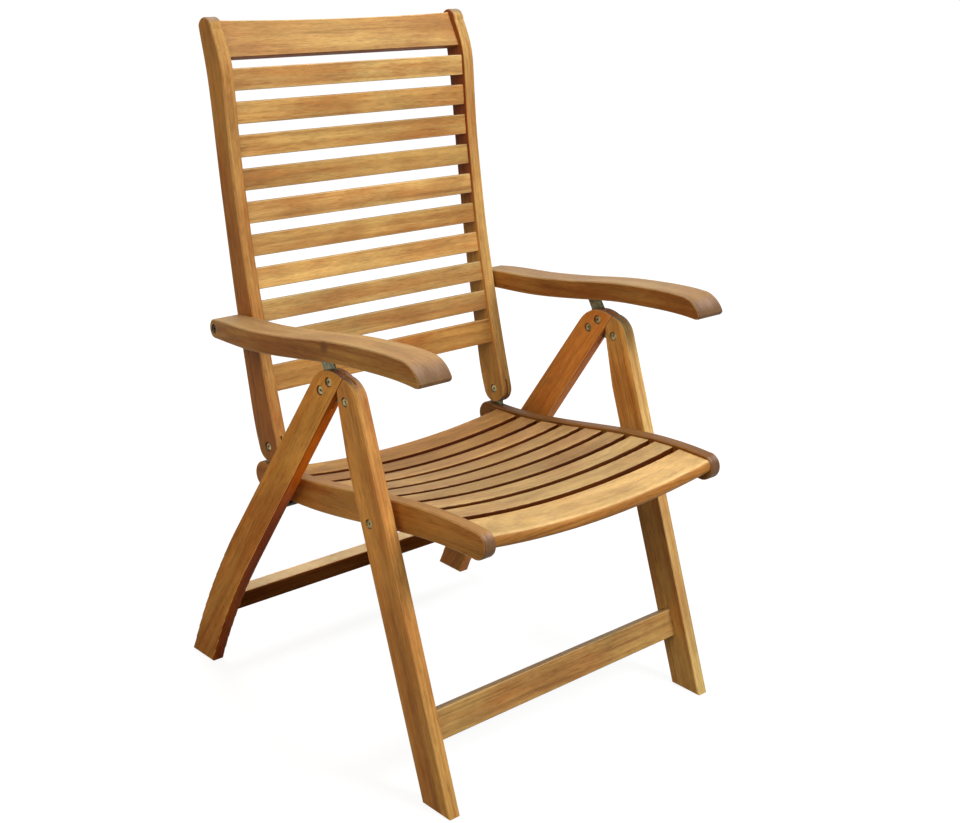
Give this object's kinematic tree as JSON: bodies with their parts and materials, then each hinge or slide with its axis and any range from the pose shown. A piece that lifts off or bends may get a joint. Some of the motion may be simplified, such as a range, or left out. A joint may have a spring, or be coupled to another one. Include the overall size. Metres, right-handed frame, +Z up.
{
  "type": "folding armchair",
  "caption": "Folding wooden armchair with a slatted seat and tall slatted back, curved armrests and A-shaped leg frames that close about steel bracket plates.",
  "frame": {"origin": "on the floor, in the middle of the chair's width and depth", "axes": "+X along the width, the chair faces -Y, +Z up"},
  "size_m": [0.65, 0.685, 1.057],
  "materials": {
    "wood": "oiled golden-brown hardwood",
    "zinc_steel": "yellow zinc plated"
  },
  "bodies": {
    "front_leg_frame": {"front_leg_left": "wood", "front_leg_right": "wood", "front_stretcher": "wood", "leg_pivot_bolts": "zinc_steel", "seat_pivot_bolts": "zinc_steel", "seat_spacers": "zinc_steel"},
    "rear_leg_frame": {"rear_leg_left": "wood", "rear_leg_right": "wood", "rear_stretcher": "wood", "leg_bracket_left": "zinc_steel", "leg_bracket_right": "zinc_steel", "bracket_bolts": "zinc_steel", "support_pin_left": "zinc_steel", "support_pin_right": "zinc_steel"},
    "seat_frame": {"seat_rail_left": "wood", "seat_rail_right": "wood", "seat_slat_1": "wood", "seat_slat_2": "wood", "seat_slat_3": "wood", "seat_slat_4": "wood", "seat_slat_5": "wood", "seat_slat_6": "wood", "seat_slat_7": "wood", "seat_slat_8": "wood", "seat_slat_9": "wood", "seat_hinge_left": "zinc_steel", "seat_hinge_right": "zinc_steel", "seat_hinge_bolts": "zinc_steel"},
    "back_pivot_bolts": {"back_pivot_bolts": "zinc_steel"},
    "backrest": {"back_stile_left": "wood", "back_stile_right": "wood", "top_rail": "wood", "back_slat_1": "wood", "back_slat_2": "wood", "back_slat_3": "wood", "back_slat_4": "wood", "back_slat_5": "wood", "back_slat_6": "wood", "back_slat_7": "wood", "back_slat_8": "wood", "back_slat_9": "wood", "back_slat_10": "wood"},
    "arm_pivot_bolts": {"arm_pivot_bolts": "zinc_steel", "arm_washers": "zinc_steel"},
    "armrests": {"armrest_left": "wood", "armrest_right": "wood", "notch_plate_left": "zinc_steel", "notch_plate_right": "zinc_steel"}
  },
  "joints": [
    {"name": "leg_fold", "type": "hinge", "parent": "front_leg_frame", "child": "rear_leg_frame", "pos_m": [0, -0.07655, 0.57], "axis": [-1, 0, 0], "range_deg": [0, 45]},
    {"name": "seat_fold", "type": "hinge", "parent": "front_leg_frame", "child": "seat_frame", "pos_m": [0, -0.139, 0.40107], "axis": [-1, 0, 0], "range_deg": [0, 33.75]},
    {"name": "back_fold", "type": "hinge", "parent": "seat_frame", "child": "back_pivot_bolts", "pos_m": [0, 0.1575, 0.41751], "axis": [1, 0, 0], "range_deg": [0, 33.75]},
    {"name": "recline", "type": "hinge", "parent": "back_pivot_bolts", "child": "backrest", "pos_m": [0, 0.1575, 0.41751], "axis": [-1, 0, 0], "range_deg": [0, 32]},
    {"name": "arm_level", "type": "hinge", "parent": "backrest", "child": "arm_pivot_bolts", "pos_m": [0, 0.22665, 0.6035], "axis": [1, 0, 0], "range_deg": [0, 23.74]},
    {"name": "arm_fold", "type": "hinge", "parent": "arm_pivot_bolts", "child": "armrests", "pos_m": [0, 0.22665, 0.6035], "axis": [-1, 0, 0], "range_deg": [0, 45]}
  ],
  "couplings": [
    {"joint": "seat_fold", "follows": "leg_fold", "ratio": 0.75},
    {"joint": "back_fold", "follows": "leg_fold", "ratio": 0.75},
    {"joint": "arm_fold", "follows": "leg_fold", "ratio": 1},
    {"joint": "arm_level", "follows": "recline", "ratio": 0.742}
  ]
}
